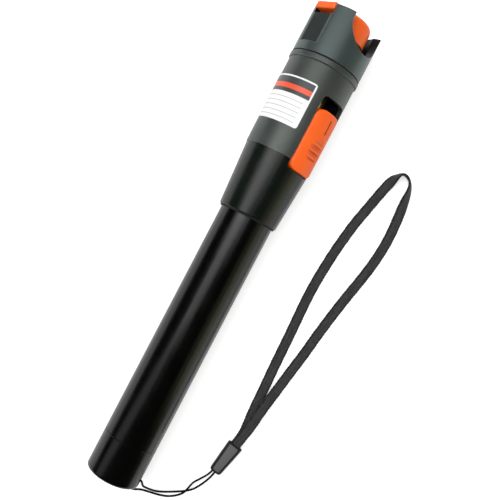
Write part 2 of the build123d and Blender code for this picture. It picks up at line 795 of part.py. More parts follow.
# Thumb recess of the slider: a shallow trough that leaves the cross ridges standing
slider_width = slot_width - 2 * sliding_gap
recess_s = slider_s + thumb_recess_from_tail
recess_r = (thumb_recess_length**2 / 4 + thumb_recess_depth**2) / (2 * thumb_recess_depth)
RECESS = Plane(
    origin=facing(slider_azimuth, recess_s, slider_top_out).origin,
    x_dir=PEN.z_dir,
    z_dir=outwards(slider_azimuth + 90),
)
with BuildPart() as thumb_recess:
    with BuildSketch(RECESS):
        with Locations((0, recess_r - thumb_recess_depth)):
            Circle(recess_r)
        with GridLocations(thumb_ridge_pitch, 0, thumb_ridges, 1):
            Rectangle(thumb_ridge_width, 4 * recess_r, mode=Mode.SUBTRACT)
    extrude(amount=slot_width, both=True)

# Slider: a domed block in the slot, with the recess and an index groove on its top
SLIDER_END = Plane(
    origin=facing(slider_azimuth, slider_s).origin,
    x_dir=outwards(slider_azimuth - 90),
    z_dir=PEN.z_dir,
)
edge_out = sqrt(slider_edge_out**2 - slider_width**2 / 4)
with BuildPart() as slider:
    with BuildSketch(SLIDER_END):
        with BuildLine():
            Polyline(
                (-slider_width / 2, edge_out),
                (-slider_width / 2, slider_base_out),
                (slider_width / 2, slider_base_out),
                (slider_width / 2, edge_out),
            )
            ThreePointArc((slider_width / 2, edge_out), (0, slider_top_out), (-slider_width / 2, edge_out))
        make_face()
    extrude(amount=slider_length)
    fillet(slider.edges().filter_by(Axis(PEN.origin, outwards(slider_azimuth))), slider_corner_r)
    fillet(slider.faces().filter_by(GeomType.CYLINDER).sort_by(SortBy.AREA)[-1].edges(), slider_edge_r)
    add(thumb_recess.part, mode=Mode.SUBTRACT)
    groove_s = slider_s + slider_length - index_groove_from_head
    with BuildSketch(facing(slider_azimuth, groove_s, slider_top_out - index_groove_depth)):
        SlotOverall(index_groove_length, index_groove_width, rotation=90)
    extrude(amount=slider_top_out, mode=Mode.SUBTRACT)
    with BuildSketch(facing(slider_azimuth, slider_centre_s, slider_base_out)):
        with GridLocations(0, carrier_screw_spacing, 1, 2):
            Circle(carrier_screw_d / 2 + press_gap)
    extrude(amount=carrier_screw_reach + press_gap, mode=Mode.SUBTRACT)
slider.part.label = "slider"
export_step(slider.part, "parts/slider.step")

# Blank label bent round the housing
label_r = housing_d / 2 + label_lift
label_tail_s = band_end_s + label_from_band
with BuildPart() as blank_label:
    revolve(
        outline(
            (label_r, label_tail_s),
            (label_r + label_thickness, label_tail_s),
            (label_r + label_thickness, label_tail_s + label_length),
            (label_r, label_tail_s + label_length),
            azimuth=label_from_azimuth,
        ),
        axis=PEN_AXIS,
        revolution_arc=label_to_azimuth - label_from_azimuth,
    )
    fillet(blank_label.edges().sort_by(SortBy.LENGTH)[:4], label_corner_r)
blank_label.part.label = "blank_label"
export_step(blank_label.part, "parts/blank_label.step")

# Clasp of the hand strap, flat on the surface: x runs from the cord's end to the webbing's
CLASP = Plane(
    origin=(clasp_centre[0], clasp_centre[1], 0),
    x_dir=(cos(radians(clasp_turn)), sin(radians(clasp_turn)), 0),
    z_dir=(0, 0, 1),
)
with BuildPart() as strap_clasp:
    with BuildSketch(CLASP) as clasp_plan:
        with BuildLine():
            Polyline(
                (-clasp_length / 2, -clasp_nose_width / 2),
                (clasp_length / 2, -clasp_mouth_width / 2),
                (clasp_length / 2, clasp_mouth_width / 2),
                (-clasp_length / 2, clasp_nose_width / 2),
                close=True,
            )
        make_face()
        fillet(clasp_plan.vertices().sort_by(Axis.X)[:2], clasp_nose_r)
    extrude(amount=clasp_height)
    fillet(strap_clasp.faces().sort_by(Axis.Z)[-1].edges(), clasp_edge_r)
strap_clasp.part.label = "strap_clasp"
export_step(strap_clasp.part, "parts/strap_clasp.step")


def bend_radii(points):
    """Largest tangent arcs that a route's runs allow, one for each inner point."""
    radii = []
    for before, here, after in zip(points, points[1:], points[2:]):
        run_in = Vector(*here) - Vector(*before)
        run_out = Vector(*after) - Vector(*here)
        half_turn = radians(run_in.get_angle(run_out)) / 2
        radii.append(0.45 * min(run_in.length, run_out.length) / tan(half_turn))
    return radii


def route_length(route):
    """Length of a route along its runs and arcs."""
    return sum(edge.length for edge in route.edges())


def on_pen(station, out, azimuth):
    """A point given by its place on the pen."""
    return tuple(PEN.origin + PEN.z_dir * station + outwards(azimuth) * out)


def on_clasp(along, aside, height):
    """A point given by its place on the clasp."""
    return tuple(CLASP.from_local_coords(Vector(along, aside, height)))


# Thin cord: out of the clasp's nose, through the cap's bridged hole and back to the nose
nose = clasp_length / 2
cord_points = [
    on_clasp(-nose, -0.55, 1.6),
    on_clasp(-nose - 2.6, -0.75, 1.9),
    (-82.3, -30.3, 3.1),
    (-86.2, -25.6, 4.6),
    (-88.2, -19.6, 7.4),
    (-88.0, -14.9, 9.9),
    on_pen(lanyard_side_hole_s, tube_d / 2 + cord_off_edge, lanyard_azimuth),
    on_pen(lanyard_side_hole_s, lanyard_end_hole_out, lanyard_azimuth),
    on_pen(-1.3, lanyard_end_hole_out, lanyard_azimuth),
    on_pen(-1.4, tube_d / 2 + cord_off_edge, lanyard_azimuth),
    (-92.2, -15.4, 7.6),
    (-91.6, -19.3, 3.0),
    (-89.3, -23.4, 0.7),
    (-84.6, -26.7, 0.5),
    (-79.6, -29.3, 1.0),
    on_clasp(-nose - 1.9, 0.7, 1.5),
    on_clasp(-nose, 0.55, 1.6),
]
cord_radii = bend_radii(cord_points)
with BuildPart() as lanyard_cord:
    with BuildLine() as cord_route:
        FilletPolyline(*cord_points, radius=cord_radii)
    with BuildSketch(Plane(origin=cord_route.line @ 0, z_dir=cord_route.line % 0)):
        Circle(cord_d / 2)
    sweep()
lanyard_cord.part.label = "lanyard_cord"
export_step(lanyard_cord.part, "parts/lanyard_cord.step")
print("lanyard cord bend radii", [round(r, 2) for r in cord_radii])
print("lanyard cord length", round(route_length(cord_route.line), 1))

# Webbing: a flat band from the clasp's mouth round the hand loop and back, lying on the surface
mouth = clasp_length / 2
leg_side = webbing_ends_apart / 2
outward_run = [
    on_clasp(mouth, leg_side, 0)[:2],
    on_clasp(mouth + webbing_mouth_run, leg_side, 0)[:2],
    (-49.0, -33.3),
    (-30.0, -33.9),
    (-6.0, -32.2),
    (16.0, -33.8),
    (32.0, -36.0),
    (43.0, -38.4),
    (49.5, -40.3),
    (52.6, -42.7),
    (52.3, -46.4),
    (48.6, -48.6),
    (40.3, -49.0),
    (24.5, -48.6),
    (12.5, -46.7),
]
return_run = [
    (12.5, -46.7),
    (0.5, -44.8),
    (-22.0, -40.3),
    (-42.0, -37.6),
    (-53.5, -36.5),
    on_clasp(mouth + webbing_mouth_run, -leg_side, 0)[:2],
    on_clasp(mouth, -leg_side, 0)[:2],
]
outward_radii = bend_radii(outward_run)
return_radii = bend_radii(return_run)
with BuildPart() as strap_webbing:
    with BuildSketch():
        with BuildLine() as outward_route:
            FilletPolyline(*outward_run, radius=outward_radii)
        trace(line_width=webbing_width)
    extrude(amount=webbing_thickness)
    with BuildSketch():
        with BuildLine() as return_route:
            FilletPolyline(*return_run, radius=return_radii)
        trace(line_width=webbing_width)
    extrude(amount=webbing_thickness)
strap_webbing.part.label = "strap_webbing"
export_step(strap_webbing.part, "parts/strap_webbing.step")
webbing_length = route_length(outward_route.line) + route_length(return_route.line)
print("webbing bend radii, outward", [round(r, 2) for r in outward_radii])
print("webbing bend radii, return", [round(r, 2) for r in return_radii])
print("webbing length", round(webbing_length, 1))
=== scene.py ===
import json
from math import cos, pi, radians, sin

import bpy
import numpy as np
from mathutils import Matrix, Vector


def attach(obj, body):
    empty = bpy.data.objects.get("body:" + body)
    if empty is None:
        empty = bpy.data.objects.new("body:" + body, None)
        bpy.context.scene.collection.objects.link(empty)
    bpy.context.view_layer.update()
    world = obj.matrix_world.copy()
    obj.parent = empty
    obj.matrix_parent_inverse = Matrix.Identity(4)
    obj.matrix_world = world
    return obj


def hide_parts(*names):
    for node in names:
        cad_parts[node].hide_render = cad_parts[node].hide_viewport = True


bl_info = {
    "name": "Visual fault locator pen",
    "version": (1, 0, 0),
    "blender": (4, 5, 0),
    "location": "View3D > Sidebar > Fault locator",
    "description": "Builds the looks of a pen-shaped visual fault locator round its packed solids",
    "category": "Object",
}

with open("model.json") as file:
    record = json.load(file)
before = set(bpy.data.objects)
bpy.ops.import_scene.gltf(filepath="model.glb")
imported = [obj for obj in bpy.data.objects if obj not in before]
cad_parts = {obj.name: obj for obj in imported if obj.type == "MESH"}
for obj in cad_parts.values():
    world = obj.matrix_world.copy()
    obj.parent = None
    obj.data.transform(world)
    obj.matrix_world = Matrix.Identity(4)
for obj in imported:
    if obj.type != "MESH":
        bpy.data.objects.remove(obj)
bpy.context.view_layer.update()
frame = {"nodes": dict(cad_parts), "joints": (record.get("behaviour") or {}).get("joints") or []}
NODES = frame["nodes"]
MM = 0.001

# The pen's axis, read from the joint that the tail cap unscrews on
THREAD = next(joint for joint in frame["joints"] if joint["name"] == "cap_thread")
TAIL = Vector(THREAD["pos_m"])
ALONG = -Vector(THREAD["axis"]).normalized()
UP = Vector((-ALONG.z, 0.0, ALONG.x))
SIDE = Vector((0.0, -1.0, 0.0))
TILT = float(np.arctan2(ALONG.z, ALONG.x))

# Place of the strap's clasp and its turn about Z: along it runs from the cord's end to the webbing's
CLASP = Vector((-68.8, -33.25, 0.0)) * MM
CLASP_TURN = radians(-11.0)
CLASP_ALONG = Vector((cos(CLASP_TURN), sin(CLASP_TURN), 0.0))
CLASP_ASIDE = Vector((-CLASP_ALONG.y, CLASP_ALONG.x, 0.0))

# Form of the clasp: order of its sections, and in millimetres its half height, shift aside and lean of the near side
CLASP_ORDER = 3.4
CLASP_HALF, CLASP_SHIFT, CLASP_LEAN = 1.70, 0.2, 0.9

# The band stands on edge at the far turn of its loop: its angle there, the millimetres over which it gets there and
# lies flat again, and the share and length in millimetres of each wave in its edge
FAR_TURN = Vector((53.3, -43.6, 0.0)) * MM
TWIST = radians(84.0)
TWIST_BEFORE, TWIST_AFTER = 8.0, 18.0
EDGE_WAVES = ((0.028, 1.24), (0.018, 4.3))

# Thread on the tail cap's plug in millimetres: its first and last station, its pitch and the height of its bump
PLUG_THREAD = (16.2, 23.0)
PLUG_PITCH, PLUG_DEPTH = 1.5, 0.18

# Share of metal in the anodised finish. The crown is milled nearer to the axis than the first of two distances in
# millimetres, and turned beyond the second
METAL_SHARE = 0.62
MILLED_OUT = (12.70, 12.90)

# Label in millimetres: its radius, then the limits of the ruled field, of the header and of the stripe, as stations
# along the pen or as places round it from the top, and the step from line to line
LABEL_RADIUS = 12.75
FIELD_ALONG, FIELD_ROUND = (135.6, 144.4), (-22.6, -0.9)
HEADER_ALONG, HEADER_ROUND = (145.15, 150.75), (-23.6, 0.28)
STRIPE_ALONG = (146.55, 148.35)
RULE_STEP = 1.75

# Cells: colour of the film, and the stations of the bare ends and of the pale bands, in millimetres
CELL_FILM = (0.050, 0.055, 0.062)
CELL_ENDS = ((15.9, 17.4), (65.4, 68.2), (116.0, 118.4))
CELL_BANDS = ((52.0, 57.0), (102.6, 107.6))

# Studio, in metres: half the side of the floor and the station that the lamps are turned to
FLOOR_REACH = 4.0
PEN_MIDDLE = 0.09
WHITE = (1.0, 1.0, 1.0)
OLIVE = (1.0, 1.0, 0.70)
# Each lamp's name, its two ends as station, distance and azimuth on the pen, its width in metres, its power, its
# colour and whether it shows in gloss
LAMPS = (
    ("tail_strip", (-190.0, 420.0, -62.0), (0.0, 420.0, -25.0), 0.13, 0.08, WHITE, True),
    ("far_strip", (0.0, 420.0, -23.0), (200.0, 420.0, -23.0), 0.21, 0.21, WHITE, True),
    ("head_glow", (90.0, 425.0, -18.0), (370.0, 425.0, -18.0), 0.50, 0.62, WHITE, True),
    ("near_strip", (-70.0, 420.0, 80.0), (260.0, 420.0, 80.0), 0.15, 0.12, OLIVE, True),
    ("near_glow", (-70.0, 420.0, 61.0), (260.0, 420.0, 61.0), 0.16, 0.04, OLIVE, True),
    ("key", (-250.0, 900.0, -25.0), (550.0, 900.0, -25.0), 0.8, 2.6, WHITE, False),
)

# Camera, fitted to the photo. In metres: station of the eye, its height above the axis, and how far along and aside
# from the eye's foot it aims. Then the direction of the picture's right side, and the lens in millimetres
EYE_ALONG, EYE_UP = 0.09205, 0.2486
AIM_ALONG, AIM_ASIDE = 0.0002, 0.0063
RIGHT_ALONG, RIGHT_ASIDE = 0.4633, 0.8862
SENSOR, FOCAL_LENGTH = 36.0, 51.03


def on_pen(station, out, azimuth):
    """A point of the pen in metres, from a station along it and a distance from its axis, both in millimetres,
    and an azimuth in degrees from up towards -Y."""
    turn = radians(azimuth)
    return TAIL + (ALONG * station + (UP * cos(turn) + SIDE * sin(turn)) * out) * MM


def on_clasp(along, aside, height):
    """A point in metres given in millimetres by its place on the clasp."""
    return CLASP + (CLASP_ALONG * along + CLASP_ASIDE * aside + Vector((0, 0, height))) * MM


def place(x, y, z):
    """A point given in millimetres in the row frame, in metres."""
    return Vector((x, y, z)) * MM


# ---- Meshes from grids of points


def skin(name, grid, uv=None, wrap=1.0):
    """Closed tube from a grid of points, rows along it and columns round it: every cell of the grid is a face,
    the last column joins the first, and one face closes each end. The faces are turned outwards by the sign of
    the volume they enclose. u is given as a row and v as a column. At the seam, u is that of the first column
    plus wrap."""
    rows, columns = grid.shape[:2]
    row = np.arange(rows - 1)[:, None]
    column = np.arange(columns)[None, :]
    after = (column + 1) % columns
    corners = np.stack(
        [row * columns + column, row * columns + after, (row + 1) * columns + after, (row + 1) * columns + column],
        axis=-1,
    ).reshape(-1, 4)
    first_end = list(range(columns))[::-1]
    last_end = list(range((rows - 1) * columns, rows * columns))
    mesh = bpy.data.meshes.new(name)
    mesh.from_pydata(grid.reshape(-1, 3).tolist(), [], corners.tolist() + [first_end, last_end])
    if uv is not None:
        u, v = np.broadcast_arrays(*uv)
        wide = np.concatenate([u, u[:, :1] + wrap], axis=1)
        tall = np.concatenate([v, v[:, :1]], axis=1)
        cells = [
            np.stack([part[:-1, :-1], part[:-1, 1:], part[1:, 1:], part[1:, :-1]], axis=-1) for part in (wide, tall)
        ]
        values = np.stack(cells, axis=-1).reshape(-1, 2)
        first = np.stack([u[0], v[0]], axis=-1)[::-1]
        last = np.stack([u[-1], v[-1]], axis=-1)
        layer = mesh.uv_layers.new(name="along")
        layer.data.foreach_set("uv", np.concatenate([values, first, last]).ravel())
    points = grid.reshape(-1, 3)
    a, b, c, d = (points[corners[:, k]] - points.mean(axis=0) for k in range(4))
    volume = (np.einsum("ij,ij->i", a, np.cross(b, c)) + np.einsum("ij,ij->i", a, np.cross(c, d))).sum()
    if volume < 0:
        mesh.flip_normals()
    mesh.shade_smooth()
    mesh.set_sharp_from_angle(angle=radians(40))
    mesh.validate()
    return mesh


def show(name, mesh, body, material):
    """Puts a mesh in the scene as a piece that rides on a body, with its material."""
    piece = bpy.data.objects.new(name, mesh)
    bpy.context.scene.collection.objects.link(piece)
    mesh.materials.clear()
    mesh.materials.append(material)
    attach(piece, body)
    return piece


def route(points):
    """The line of a cord: an open NURBS spline of order 3 with these control points, ending at the first and the
    last, sampled by the curve itself."""
    curve = bpy.data.curves.new("route", "CURVE")
    curve.dimensions = "3D"
    curve.resolution_u = 10
    spline = curve.splines.new("NURBS")
    spline.points.add(len(points) - 1)
    for control, point in zip(spline.points, points):
        control.co = (*point, 1.0)
    spline.order_u = 3
    spline.use_endpoint_u = True
    holder = bpy.data.objects.new("route", curve)
    mesh = bpy.data.meshes.new_from_object(holder)
    line = np.empty(3 * len(mesh.vertices))
    mesh.vertices.foreach_get("co", line)
    bpy.data.objects.remove(holder)
    bpy.data.curves.remove(curve)
    bpy.data.meshes.remove(mesh)
    return line.reshape(-1, 3)


def evenly(line, step):
    """A line at even steps of arc length, and the arc length at each of its new points."""
    run = np.concatenate([[0.0], np.cumsum(np.linalg.norm(np.diff(line, axis=0), axis=1))])
    at = np.linspace(0.0, run[-1], int(round(run[-1] / step)) + 1)
    return np.stack([np.interp(at, run, line[:, k]) for k in range(3)], axis=-1), at


def along(line):
    """Unit tangents of a line, by central differences."""
    tangent = np.gradient(line, axis=0)
    return tangent / np.linalg.norm(tangent, axis=1)[:, None]


def carried(tangent, start):
    """Unit normals carried along a line without twist: each is the one before it, less its part along the
    tangent there."""
    normals = np.empty_like(tangent)
    normal = np.array(start, float)
    for k, direction in enumerate(tangent):
        normal = normal - direction * (normal @ direction)
        normal = normal / np.linalg.norm(normal)
        normals[k] = normal
    return normals


def around(count):
    """Even angles round a section, as one row."""
    return np.linspace(0.0, 2 * pi, count, endpoint=False)[None, :]


# ---- Materials


class Nodes:
    """A node tree with short calls for the nodes in it."""

    def __init__(self, tree):
        self.tree = tree

    def node(self, kind, sources=(), output=0, **settings):
        """Adds a node with its settings, feeds its inputs in order and returns one output. None leaves an input."""
        node = self.tree.nodes.new(kind)
        for key, value in settings.items():
            setattr(node, key, value)
        inputs = [socket for socket in node.inputs if socket.enabled]
        for socket, source in zip(inputs, sources):
            if isinstance(source, bpy.types.NodeSocket):
                self.tree.links.new(source, socket)
            elif source is not None:
                socket.default_value = source
        outputs = [socket for socket in node.outputs if socket.enabled]
        return outputs[output]

    def maths(self, operation, *sources):
        return self.node("ShaderNodeMath", sources, operation=operation)

    def times(self, one, two):
        return self.maths("MULTIPLY", one, two)

    def plus(self, *sources):
        """The sum of two or more values."""
        total = sources[0]
        for source in sources[1:]:
            total = self.maths("ADD", total, source)
        return total

    def blend(self, factor, one, two):
        """Value between two values."""
        return self.node("ShaderNodeMix", (factor, one, two))

    def mix(self, factor, one, two):
        """Colour between two colours."""
        one = one if isinstance(one, bpy.types.NodeSocket) else (*one, 1.0)
        two = two if isinstance(two, bpy.types.NodeSocket) else (*two, 1.0)
        return self.node("ShaderNodeMix", (factor, one, two), data_type="RGBA")

    def between(self, value, low, high, to_low=0.0, to_high=1.0):
        """Maps a value's range to another, held at its ends."""
        return self.node("ShaderNodeMapRange", (value, low, high, to_low, to_high))

    def inside(self, value, limits, soft):
        """1 where a value is between two limits and 0 outside, with soft edges."""
        low, high = limits
        rise = self.between(value, low - soft, low + soft)
        fall = self.between(value, high - soft, high + soft, 1.0, 0.0)
        return self.times(rise, fall)

    def stripes(self, value, spans, soft):
        """1 where a value is in one of some spans and 0 outside them, with soft edges."""
        return self.plus(*(self.inside(value, span, soft) for span in spans))

    def split(self, vector):
        """The three parts of a vector."""
        node = self.tree.nodes.new("ShaderNodeSeparateXYZ")
        self.tree.links.new(vector, node.inputs[0])
        return tuple(node.outputs)

    def rays(self):
        """Two values: 1 for what the camera sees, also through glass, and 1 for what gloss mirrors."""
        kinds = self.tree.nodes.new("ShaderNodeLightPath").outputs
        seen = self.maths("MAXIMUM", kinds["Is Camera Ray"], kinds["Is Transmission Ray"])
        return seen, kinds["Is Glossy Ray"]


class Finish(Nodes):
    """One procedural material: its node tree, its shader and the coordinates and masks that lead to it."""

    def __init__(self, name, roughness, metallic=0.0, specular=0.5, coat=0.0, sheen=0.0):
        self.material = bpy.data.materials.new(name)
        self.material.use_nodes = True
        super().__init__(self.material.node_tree)
        self.shader = self.tree.nodes["Principled BSDF"]
        self.set("Roughness", roughness)
        self.set("Metallic", metallic)
        self.set("Specular IOR Level", specular)
        self.set("Coat Weight", coat)
        self.set("Coat Roughness", 0.08)
        self.set("Sheen Weight", sheen)

    def set(self, socket, value):
        """Writes a value on a socket of the shader, or links an output to it."""
        if isinstance(value, bpy.types.NodeSocket):
            self.tree.links.new(value, self.shader.inputs[socket])
        else:
            self.shader.inputs[socket].default_value = value

    def pen(self):
        """Coordinates of the pen in millimetres: X is the station, Y and Z lie across it."""
        turned = Matrix.Rotation(TILT, 3, "Y")
        where = self.node("ShaderNodeTexCoord", output=3)
        shift = -(turned @ TAIL) / MM
        return self.node("ShaderNodeMapping", (where, shift, (0.0, TILT, 0.0), (1 / MM,) * 3))

    def row(self, scale=1.0):
        """Object coordinates in millimetres, times a scale."""
        where = self.node("ShaderNodeTexCoord", output=3)
        return self.node("ShaderNodeMapping", (where, None, None, (scale / MM,) * 3))

    def uv(self):
        """The two coordinates of a mesh that skin made: round or across it and, in millimetres, along it."""
        return self.split(self.node("ShaderNodeUVMap", uv_map="along"))[:2]

    def azimuth(self, vector):
        """Angle round the pen's axis in degrees, from up towards -Y."""
        _, across, height = self.split(vector)
        turn = self.maths("ARCTAN2", self.times(across, -1.0), height)
        return self.times(turn, 180.0 / pi)

    def noise(self, vector, scale, detail=2.0, roughness=0.5):
        return self.node("ShaderNodeTexNoise", (vector, scale, detail, roughness))

    def edge_share(self, radius, low, high):
        """1 at edges and 0 on faces: how far the normal turns when the edges are rounded."""
        rounded = self.node("ShaderNodeBevel", (radius,), samples=4)
        flat = self.node("ShaderNodeNewGeometry", output=1)
        facing = self.node("ShaderNodeVectorMath", (rounded, flat), operation="DOT_PRODUCT")
        return self.between(facing, high, low)

    def openness(self, distance):
        """1 in the open and less in grooves, as far as a distance sees them."""
        seen = self.node("ShaderNodeAmbientOcclusion", output=1)
        seen.node.inputs["Distance"].default_value = distance
        return seen

    def bump(self, height, distance):
        """Bends the shader's normal by a height, given in metres for a height of 1."""
        node = self.tree.nodes.new("ShaderNodeBump")
        node.inputs["Strength"].default_value = 1.0
        node.inputs["Distance"].default_value = distance
        self.tree.links.new(height, node.inputs["Height"])
        self.set("Normal", node.outputs[0])

    def paint(self, colour, mottle, cloud):
        """The base colour, lighter and darker by a share of itself where a cloud of noise is high and low."""
        return self.mix(cloud, scaled(colour, 1.0 - mottle), scaled(colour, 1.0 + mottle))


def scaled(colour, share):
    """A colour times a share."""
    return tuple(part * share for part in colour)


def shell(name, colour, roughness, metallic=0.0, specular=0.5, coat=0.0, mottle=0.08, grain=3.0, depth=1e-6,
          rings=0.0, edge_highlight=None, spread=0.05):
    """A finish for the pen's shells: faint mottling, fine grain or turning marks in the bump, uneven roughness
    and edges painted a lighter tone in patches, as a painted highlight."""
    finish = Finish(name, roughness, metallic, specular, coat)
    place_on = finish.pen()
    cloud = finish.noise(place_on, 0.12, 3.0)
    fine = finish.noise(place_on, grain)
    base = finish.paint(colour, mottle, cloud)
    # Painted highlight: the edges are painted a lighter tone, in patches
    if edge_highlight is not None:
        patches = finish.between(finish.noise(place_on, 0.9, 3.0), 0.35, 0.65, 0.25, 1.0)
        edge = finish.times(finish.edge_share(0.25 * MM, 0.80, 0.97), patches)
        base = finish.mix(edge, base, edge_highlight)
    finish.set("Base Color", base)
    height = fine
    if rings:
        stretched = finish.node("ShaderNodeMapping", (place_on, None, None, (rings, 0.02, 0.02)))
        height = finish.plus(fine, finish.noise(stretched, 1.0))
    uneven = finish.plus(finish.times(cloud, 0.7), finish.times(fine, 0.3))
    finish.set("Roughness", finish.between(uneven, 0.3, 0.7, roughness - spread, roughness + spread))
    finish.bump(height, depth)
    return finish


def dress(materials):
    """Gives each CAD node its material, by names of nodes and materials."""
    for node, finish in materials.items():
        for holder in NODES[node].material_slots:
            holder.link = "OBJECT"
            holder.material = finish.material


class PenColours(bpy.types.PropertyGroup):
    """Colours of the pen that a user may want to change."""

    tube: bpy.props.FloatVectorProperty(
        name="Tube", description="Glossy battery tube and tail cap", subtype="COLOR", default=(0.0006, 0.0010, 0.0006))
    housing: bpy.props.FloatVectorProperty(
        name="Housing", description="Head housing, ring and band", subtype="COLOR", default=(0.093, 0.105, 0.098))
    crown: bpy.props.FloatVectorProperty(
        name="Crown", description="Front piece with the finger notch", subtype="COLOR", default=(0.089, 0.116, 0.112))
    orange: bpy.props.FloatVectorProperty(
        name="Orange", description="Slide button and dust lid", subtype="COLOR", default=(0.88, 0.115, 0.005))
    webbing: bpy.props.FloatVectorProperty(
        name="Webbing", description="Woven band of the strap", subtype="COLOR", default=(0.048, 0.048, 0.049))
    clasp: bpy.props.FloatVectorProperty(
        name="Clasp", description="Clasp of the strap", subtype="COLOR", default=(0.105, 0.105, 0.105))


class StrapSizes(bpy.types.PropertyGroup):
    """Sizes of the hand strap."""

    cord: bpy.props.FloatProperty(
        name="Cord", description="Diameter of the thin cord", default=0.75 * MM, unit="LENGTH", precision=5)
    band: bpy.props.FloatProperty(
        name="Band width", description="Width of the webbing", default=3.8 * MM, unit="LENGTH", precision=5)
    thickness: bpy.props.FloatProperty(
        name="Band thickness", description="Thickness of the webbing", default=1.0 * MM, unit="LENGTH", precision=5)


class StageLight(bpy.types.PropertyGroup):
    """Strength of the studio's lights."""

    fill: bpy.props.FloatProperty(name="Fill", description="Plain light from all round", default=0.62, min=0.0)
    strip: bpy.props.FloatProperty(name="Lamps", description="Strength of all lamps", default=1.0, min=0.0)


class FAULT_OT_shells(bpy.types.Operator):
    """Finishes the tube, the tail cap, the collar, the housing and the crown."""

    bl_idname = "fault.shells"
    bl_label = "Finish the shells"

    def execute(self, context):
        colours = context.scene.pen_colours
        gloss = {"mottle": 0.2, "grain": 1.5, "depth": 1.2e-6, "spread": 0.04}
        tube = shell("glossy_black", colours.tube, 0.22, **gloss)
        cap = shell("glossy_black_cap", colours.tube, 0.23, **gloss)
        self.thread(cap)
        collar = shell("collar_paint", (0.0035, 0.0062, 0.0042), 0.27, mottle=0.12, grain=6.0, depth=3e-6,
                       edge_highlight=(0.10, 0.105, 0.10), spread=0.06)
        grey = shell("anodised_grey", colours.housing, 0.40, metallic=METAL_SHARE, mottle=0.07, grain=9.0,
                     depth=4e-6, rings=5.0, edge_highlight=(0.33, 0.35, 0.34), spread=0.07)
        front = shell("anodised_front", colours.crown, 0.36, metallic=METAL_SHARE, grain=9.0, depth=4e-6, rings=4.0,
                      edge_highlight=(0.36, 0.39, 0.38), spread=0.08)
        self.paint_flat_shade(front)
        rubber = shell("black_rubber", (0.010, 0.010, 0.010), 0.62, specular=0.35, mottle=0.2, grain=8.0,
                       depth=1.2e-5)
        dress({
            "battery_tube": tube, "tail_cap": cap, "collar": collar, "head_housing": grey, "front_ring": grey,
            "crown": front, "front_seal": rubber, "collar_seal": rubber, "tail_o_ring": rubber,
        })
        return {"FINISHED"}

    def thread(self, cap):
        """Adds the thread on the cap's plug as a bump: the sine of the station over the pitch, less the turn."""
        place_on = cap.pen()
        station = cap.split(place_on)[0]
        turn = cap.maths("DIVIDE", cap.azimuth(place_on), 360.0)
        turns = cap.maths("SUBTRACT", cap.maths("DIVIDE", station, PLUG_PITCH), turn)
        ridge = cap.maths("SINE", cap.times(turns, 2 * pi))
        cap.bump(cap.times(ridge, cap.inside(station, PLUG_THREAD, 0.1)), PLUG_DEPTH * MM)

    def paint_flat_shade(self, front):
        """Paints the milled faces, which are nearer to the axis than the turned one, darker and duller, as painted
        shade.
        """
        _, across, height = front.split(front.pen())
        off_axis = front.maths("SQRT", front.plus(front.times(across, across), front.times(height, height)))
        milled = front.between(off_axis, *MILLED_OUT, 1.0, 0.0)
        turned = front.shader.inputs["Base Color"].links[0].from_socket
        # Painted shade: the milled flat is painted darker
        front.set("Base Color", front.mix(milled, turned, (0.004, 0.010, 0.009)))
        front.set("Metallic", front.between(milled, 0.0, 1.0, METAL_SHARE, 0.0))
        front.set("Specular IOR Level", front.between(milled, 0.0, 1.0, 0.5, 0.22))


class FAULT_OT_orange(bpy.types.Operator):
    """Finishes the moulded slide button and the dust lid."""

    bl_idname = "fault.orange"
    bl_label = "Finish the orange parts"

    def execute(self, context):
        colour = context.scene.pen_colours.orange
        for node in ("slider", "dust_lid"):
            finish = Finish(node + "_plastic", 0.42, specular=0.35, coat=0.05)
            place_on = finish.pen()
            cloud = finish.noise(place_on, 0.22, 3.0)
            fine = finish.noise(place_on, 5.0)
            base = finish.paint(colour, 0.10, cloud)
            # Painted highlight: the edges are painted a lighter orange
            edge = finish.edge_share(0.35 * MM, 0.80, 0.98)
            base = finish.mix(finish.times(edge, 0.55), base, (0.98, 0.32, 0.06))
            # Painted shade in the grooves and recesses
            shade = finish.between(finish.openness(1.0 * MM), 0.70, 0.97, 0.50, 0.0)
            finish.set("Base Color", finish.mix(shade, base, (0.34, 0.030, 0.002)))
            finish.set("Roughness", finish.between(fine, 0.3, 0.7, 0.36, 0.50))
            finish.set("Subsurface Weight", 0.06)
            finish.set("Subsurface Radius", (0.6 * MM, 0.2 * MM, 0.05 * MM))
            finish.bump(fine, 8e-6)
            dress({node: finish})
        return {"FINISHED"}


class FAULT_OT_label(bpy.types.Operator):
    """Finishes the blank write-on label: a dark header with an orange stripe over a white field with ruled lines."""

    bl_idname = "fault.label"
    bl_label = "Finish the label"

    def execute(self, context):
        finish = Finish("blank_label_paper", 0.38, specular=0.4, coat=0.25)
        place_on = finish.pen()
        station = finish.split(place_on)[0]
        round_it = finish.times(finish.azimuth(place_on), LABEL_RADIUS * pi / 180.0)
        cloud = finish.noise(place_on, 0.35, 3.0)
        paper = finish.paint((0.83, 0.83, 0.82), 0.03, cloud)
        lines = finish.maths("DIVIDE", finish.maths("SUBTRACT", station, FIELD_ALONG[0]), RULE_STEP)
        rule = finish.inside(finish.maths("FRACT", lines), (0.40, 0.52), 0.05)
        rule = finish.times(rule, finish.inside(round_it, FIELD_ROUND, 0.05))
        rule = finish.times(rule, finish.inside(station, FIELD_ALONG, 0.05))
        field = finish.mix(finish.times(rule, 0.75), paper, (0.16, 0.165, 0.17))
        dark = finish.paint((0.052, 0.060, 0.060), 0.10, cloud)
        header = finish.mix(finish.inside(station, STRIPE_ALONG, 0.06), dark, (0.78, 0.090, 0.035))
        panel = finish.times(finish.inside(station, HEADER_ALONG, 0.06), finish.inside(round_it, HEADER_ROUND, 0.06))
        finish.set("Base Color", finish.mix(panel, field, header))
        finish.set("Roughness", finish.between(cloud, 0.3, 0.7, 0.32, 0.44))
        finish.bump(finish.noise(place_on, 7.0), 3e-6)
        dress({"blank_label": finish})
        return {"FINISHED"}


